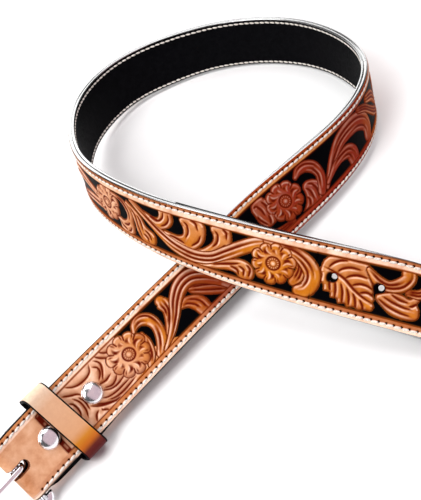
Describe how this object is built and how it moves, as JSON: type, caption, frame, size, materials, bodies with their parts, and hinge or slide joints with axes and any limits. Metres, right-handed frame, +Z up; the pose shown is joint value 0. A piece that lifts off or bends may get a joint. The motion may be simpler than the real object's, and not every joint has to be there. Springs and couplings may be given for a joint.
{
  "type": "western leather belt",
  "caption": "Tooled western belt with a black lining, stitched edges, keeper, snaps and a chrome buckle, standing on edge in an open loop.",
  "frame": {"origin": "centre of the whole belt's box in plan, on the floor it rests on", "axes": "+Z up from the floor; the picture looks along +Y and down; the loop opens upwards and the tip points to +X and -Y"},
  "size_m": [0.3974, 0.3892, 0.0674],
  "materials": {
    "tooled_leather": "carved and stained, satin",
    "black_lining": "smooth black, satin",
    "keeper_leather": "smooth tan, satin",
    "buckle_chrome": "polished",
    "snap_chrome": "polished"
  },
  "bodies": {
    "belt": {"strap_front": "tooled_leather", "strap_lining": "black_lining", "keeper": "keeper_leather", "snap_cap_1": "snap_chrome", "snap_back_1": "snap_chrome", "snap_cap_2": "snap_chrome", "snap_back_2": "snap_chrome"},
    "buckle_frame": {"buckle_frame": "buckle_chrome"},
    "buckle_prong": {"buckle_prong": "buckle_chrome"}
  },
  "joints": [
    {"name": "frame_swing", "type": "hinge", "parent": "belt", "child": "buckle_frame", "pos_m": [-0.15607, -0.11685, 0.02437], "axis": [-0.2874, 0.4807, 0.8285], "range_deg": [-60, 30]},
    {"name": "prong_swing", "type": "hinge", "parent": "buckle_frame", "child": "buckle_prong", "pos_m": [-0.15607, -0.11685, 0.02437], "axis": [-0.2874, 0.4807, 0.8285], "range_deg": [0, 70]}
  ]
}
